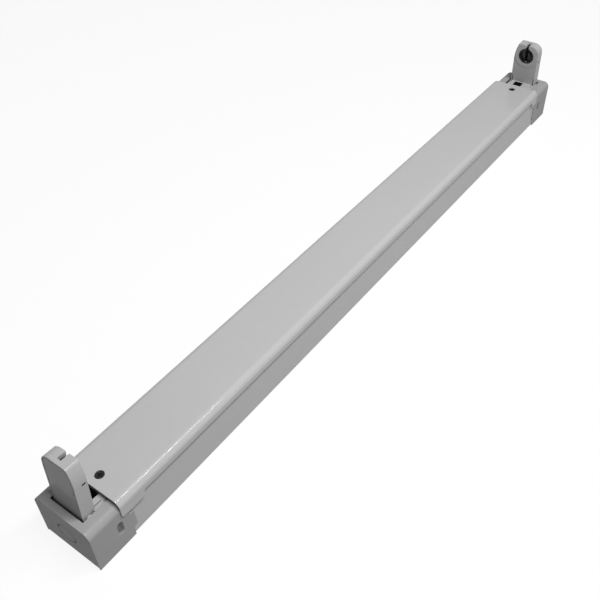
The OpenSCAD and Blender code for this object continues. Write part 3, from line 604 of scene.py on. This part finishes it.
class BATTEN_OT_lampholders(bpy.types.Operator):
    """Rounds the moulded edges of both lampholders, their back plates, contacts and rotors, and adds the black
    collars that are painted shade for the bores
    """

    bl_idname = "batten.lampholders"
    bl_label = "Lampholders"

    def execute(self, context):
        edges = context.scene.batten_edges
        for side in ("left", "right"):
            body = f"holder_{side}"
            lock = f"lock_{side}"
            socket = Socket(side)
            housing = dress(
                f"lampholder_{side}", f"lampholder_{side}_moulded", body, "holder_plastic", edges.small * 0.6,
                broad=edges.moulded, merge=0.00012, above=HOLDER_SHOWS, shape=socket.paint_shade_in_windows,
            )
            # Second material: black, the painted shade inside the windows
            housing.data.materials.append(finishes()["black_plastic"])
            dress(
                f"lampholder_back_{side}", f"lampholder_back_{side}_moulded", body, "holder_plastic", edges.moulded,
            )
            # A black ring where the bore's wall is in shade: painted shade
            placed(bore_shade_collar(socket), f"bore_shade_collar_{side}", lock, "black_plastic")
            dress(f"contacts_{side}", f"contacts_{side}_pressed", body, "bronze", edges.small * 0.8)
            dress(f"rotor_{side}", f"rotor_{side}_moulded", lock, "black_plastic", edges.small * 0.66)
        return {"FINISHED"}


class BATTEN_OT_screws(bpy.types.Operator):
    """Finishes the cover's screws and those inside the spine"""

    bl_idname = "batten.screws"
    bl_label = "Screws"

    def execute(self, context):
        edge = context.scene.batten_edges.small
        dress("cover_screws", "cover_screws_finished", "lid", "dark_screw", edge)
        dress("ballast_screws", "ballast_screws_finished", "batten", "plated_steel", edge)
        dress("terminal_fixing_screw", "terminal_fixing_screw_finished", "batten", "plated_steel", edge)
        dress("terminal_screws", "terminal_screws_finished", "batten", "brass", edge)
        dress("earth_screw", "earth_screw_finished", "batten", "brass", edge)
        dress("earth_tag", "earth_tag_finished", "batten", "plated_steel", edge * 0.5)
        return {"FINISHED"}


class BATTEN_OT_gear(bpy.types.Operator):
    """Finishes the ballast, terminals, cable bush and wire clips"""

    bl_idname = "batten.gear"
    bl_label = "Ballast and terminals"

    def execute(self, context):
        edge = context.scene.batten_edges.small
        dress("ballast_case", "ballast_case_plated", "batten", "plated_steel", edge)
        dress("ballast_base", "ballast_base_plated", "batten", "plated_steel", edge)
        dress("ballast_board", "ballast_board_lacquered", "batten", "board", edge)
        for end in ("input", "output"):
            terminal = f"ballast_{end}_terminal"
            dress(terminal, f"{terminal}_moulded", "batten", "white_plastic", edge)
        dress("terminal_block", "terminal_block_moulded", "batten", "white_plastic", edge * 0.5, merge=0.00006)
        dress("cable_bush", "cable_bush_moulded", "batten", "black_plastic", edge * 2)
        dress("wire_clips", "wire_clips_moulded", "batten", "white_plastic", edge)
        return {"FINISHED"}


class BATTEN_OT_wires(bpy.types.Operator):
    """Rounds the insulated wires"""

    bl_idname = "batten.wires"
    bl_label = "Wires"

    def execute(self, context):
        for node, slot in (
            ("live_wire", "wire_brown"), ("neutral_wire", "wire_blue"), ("earth_wire", "wire_green"),
            ("lamp_leads_left", "wire_white"), ("lamp_leads_right", "wire_white"),
        ):
            piece = dress(node, f"{node}_insulated", "batten", slot, 0)
            piece.modifiers.remove(piece.modifiers["even shading"])
            rounder = piece.modifiers.new("round", "SUBSURF")
            rounder.levels = rounder.render_levels = 1
        return {"FINISHED"}


# ------------------------------------------------------------------- stage


def lay_floor():
    """Lays a floor that takes the batten's shadow and is nearly white for the camera"""
    bm = bmesh.new()
    bmesh.ops.create_grid(bm, x_segments=2, y_segments=2, size=FLOOR_SIZE)
    bmesh.ops.translate(bm, verts=bm.verts, vec=(0, 0, FLOOR_HEIGHT))
    mesh = bpy.data.meshes.new("floor")
    bm.to_mesh(mesh)
    bm.free()
    floor = bpy.data.objects.new("floor", mesh)
    bpy.context.scene.collection.objects.link(floor)
    f = Finish("floor_white", FLOOR_GREY, 0.9, Specular_IOR_Level=0.0)
    straight = f.add("ShaderNodeLightPath", {}, {}, "Is Camera Ray")
    f.feed("Base Color", f.tint(straight, (*FLOOR_GREY, 1), (1, 1, 1, 1)))
    white = f.add("ShaderNodeEmission", {}, {"Color": (1, 1, 1, 1), "Strength": 1.0}, "Emission")
    parts = {0: f.seen() * FLOOR_GLOW, 1: Wave(f, f.shader.outputs[0]), 2: white}
    mixed = f.add("ShaderNodeMixShader", {}, parts)
    f.tree.links.new(mixed.socket, f.output.inputs["Surface"])
    mesh.materials.append(f.material)


def light_room(scene, level):
    """Lights the object evenly from all round, in front of a white room"""
    scene.world = scene.world or bpy.data.worlds.new("room")
    room = Tree(scene.world)
    dim = room.add("ShaderNodeBackground", {}, {"Color": (1, 1, 1, 1), "Strength": level})
    pale = room.add("ShaderNodeBackground", {}, {"Color": (1, 1, 1, 1), "Strength": 1.0})
    sky = room.add("ShaderNodeMixShader", {}, {0: room.seen(), 1: dim, 2: pale})
    room.add("ShaderNodeOutputWorld", {}, {"Surface": sky}, None)


def soft_light(name, place, target, size, power):
    """Hangs a rectangular light that points at a target"""
    lamp = bpy.data.lights.new(name, "AREA")
    lamp.shape = "RECTANGLE"
    lamp.size, lamp.size_y = size
    lamp.energy = power
    holder = bpy.data.objects.new(name, lamp)
    holder.location = place
    holder.rotation_euler = (Vector(place) - Vector(target)).to_track_quat("Z", "Y").to_euler()
    bpy.context.scene.collection.objects.link(holder)


class BATTEN_OT_stage(bpy.types.Operator):
    """Lays a plain pale floor and sets the camera and soft lights"""

    bl_idname = "batten.stage"
    bl_label = "Stage"

    def execute(self, context):
        scene = context.scene
        stage = scene.batten_stage
        lay_floor()
        light_room(scene, stage.room)
        soft_light("key_light", stage.key_place, KEY_TARGET, KEY_SIZE, stage.key_power)
        soft_light("fill_light", stage.fill_place, FILL_TARGET, FILL_SIZE, stage.fill_power)

        camera = bpy.data.cameras.new("camera")
        camera.sensor_fit = "HORIZONTAL"
        camera.sensor_width = 36
        camera.lens = stage.lens
        camera.clip_start = 0.01
        camera.clip_end = 50
        viewer = bpy.data.objects.new("camera", camera)
        viewer.location = stage.camera_place
        viewer.rotation_euler = stage.camera_turn
        scene.collection.objects.link(viewer)
        scene.camera = viewer
        scene.view_settings.view_transform = "Standard"
        return {"FINISHED"}


class BATTEN_PT_panel(bpy.types.Panel):
    """Lists the batten's operators and settings"""

    bl_idname = "BATTEN_PT_panel"
    bl_label = "Batten"
    bl_space_type = "VIEW_3D"
    bl_region_type = "UI"
    bl_category = "Batten"

    def draw(self, context):
        for operator in OPERATORS:
            self.layout.operator(operator.bl_idname)
        for group in SETTINGS:
            holder = getattr(context.scene, group)
            for key in holder.bl_rna.properties.keys():
                if key not in ("rna_type", "name"):
                    self.layout.prop(holder, key)


SETTINGS = {
    "batten_finish": BattenFinishSettings,
    "batten_edges": BattenEdgeSettings,
    "batten_stage": BattenStageSettings,
}
OPERATORS = (
    BATTEN_OT_stage, BATTEN_OT_sheet_metal, BATTEN_OT_lampholders, BATTEN_OT_screws,
    BATTEN_OT_gear, BATTEN_OT_wires,
)
CLASSES = (*SETTINGS.values(), *OPERATORS, BATTEN_PT_panel)


def register():
    for kind in CLASSES:
        bpy.utils.register_class(kind)
    for key, kind in SETTINGS.items():
        setattr(bpy.types.Scene, key, PointerProperty(type=kind))


def unregister():
    for key in SETTINGS:
        delattr(bpy.types.Scene, key)
    for kind in reversed(CLASSES):
        bpy.utils.unregister_class(kind)


def main():
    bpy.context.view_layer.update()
    register()
    for operator in OPERATORS:
        group, name = operator.bl_idname.split(".")
        getattr(getattr(bpy.ops, group), name)()


if __name__ == "__main__":
    main()
